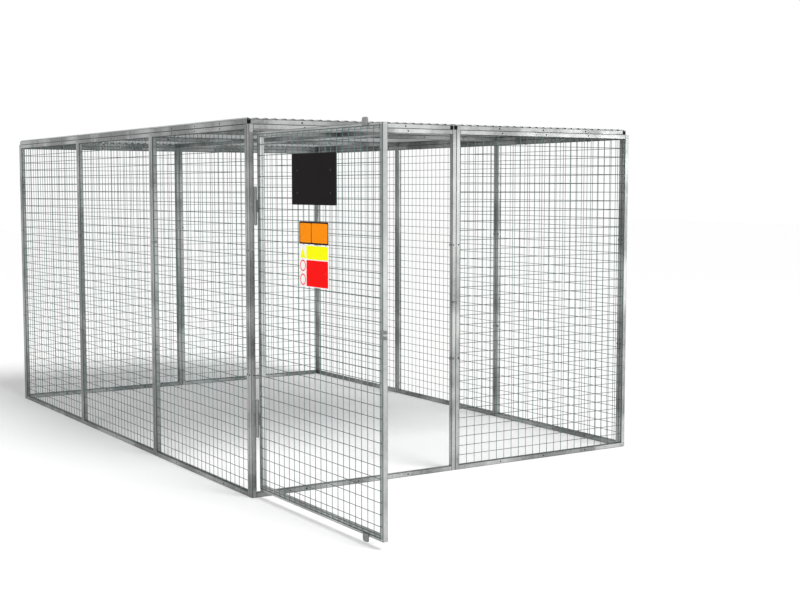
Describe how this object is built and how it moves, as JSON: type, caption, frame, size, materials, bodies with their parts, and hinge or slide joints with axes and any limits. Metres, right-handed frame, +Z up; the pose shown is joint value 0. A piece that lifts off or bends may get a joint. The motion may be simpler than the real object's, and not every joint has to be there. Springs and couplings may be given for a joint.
{
  "type": "gas cylinder cage",
  "caption": "Walk-in gas cylinder cage of galvanised box section and weldmesh panels with a corrugated roof and a hinged door",
  "frame": {"origin": "centre of the cage footprint on the floor, door left out", "axes": "+X to the right along the front wall seen from outside, +Y from the front to the back, +Z up"},
  "size_m": [2.4, 4.826, 1.832],
  "materials": {
    "galvanised_steel": "satin hot-dip zinc",
    "galvanised_mesh": "satin zinc wire",
    "galvanised_sheet": "bright spangled zinc",
    "zinc_fasteners": "bright zinc plate",
    "black_plastic": "matt",
    "black_sign": "printed board",
    "orange_sign": "printed board",
    "white_sign": "printed board"
  },
  "bodies": {
    "cage": {"left_frame_1": "galvanised_steel", "left_frame_2": "galvanised_steel", "left_frame_3": "galvanised_steel", "right_frame_1": "galvanised_steel", "right_frame_2": "galvanised_steel", "right_frame_3": "galvanised_steel", "back_frame_1": "galvanised_steel", "back_frame_2": "galvanised_steel", "front_frame": "galvanised_steel", "door_bay_frame": "galvanised_steel", "roof_frame_left_1": "galvanised_steel", "roof_frame_left_2": "galvanised_steel", "roof_frame_left_3": "galvanised_steel", "roof_frame_right_1": "galvanised_steel", "roof_frame_right_2": "galvanised_steel", "roof_frame_right_3": "galvanised_steel", "left_mesh_1": "galvanised_mesh", "left_mesh_2": "galvanised_mesh", "left_mesh_3": "galvanised_mesh", "right_mesh_1": "galvanised_mesh", "right_mesh_2": "galvanised_mesh", "right_mesh_3": "galvanised_mesh", "back_mesh_1": "galvanised_mesh", "back_mesh_2": "galvanised_mesh", "front_mesh": "galvanised_mesh", "roof_sheet_left_1": "galvanised_sheet", "roof_sheet_left_2": "galvanised_sheet", "roof_sheet_left_3": "galvanised_sheet", "roof_sheet_right_1": "galvanised_sheet", "roof_sheet_right_2": "galvanised_sheet", "roof_sheet_right_3": "galvanised_sheet", "roof_rivets": "zinc_fasteners", "panel_bolts": "zinc_fasteners", "panel_nuts": "zinc_fasteners", "corner_bolts": "zinc_fasteners", "roof_bolts": "zinc_fasteners", "seam_bolts": "zinc_fasteners", "seam_nuts": "zinc_fasteners", "corner_weld_nuts": "galvanised_steel", "roof_weld_nuts": "galvanised_steel", "roof_plugs": "black_plastic", "post_plugs": "black_plastic", "lower_post_knuckles": "galvanised_steel", "upper_post_knuckles": "galvanised_steel", "padlock_tab": "galvanised_steel", "lower_hinge_pin": "zinc_fasteners", "upper_hinge_pin": "zinc_fasteners"},
    "door": {"door_frame": "galvanised_steel", "door_mesh": "galvanised_mesh", "door_plugs": "black_plastic", "lower_door_knuckle": "galvanised_steel", "upper_door_knuckle": "galvanised_steel", "top_stop_lug": "galvanised_steel", "bottom_stop_lug": "galvanised_steel", "hasp_fork": "galvanised_steel", "upper_sign": "black_sign", "middle_sign": "orange_sign", "lower_sign": "white_sign", "sign_screws": "zinc_fasteners"}
  },
  "joints": [
    {"name": "door_swing", "type": "hinge", "parent": "cage", "child": "door", "pos_m": [-1.171, -1.8315, 0.9], "axis": [0, 0, -1], "range_deg": [-90, 90]}
  ]
}
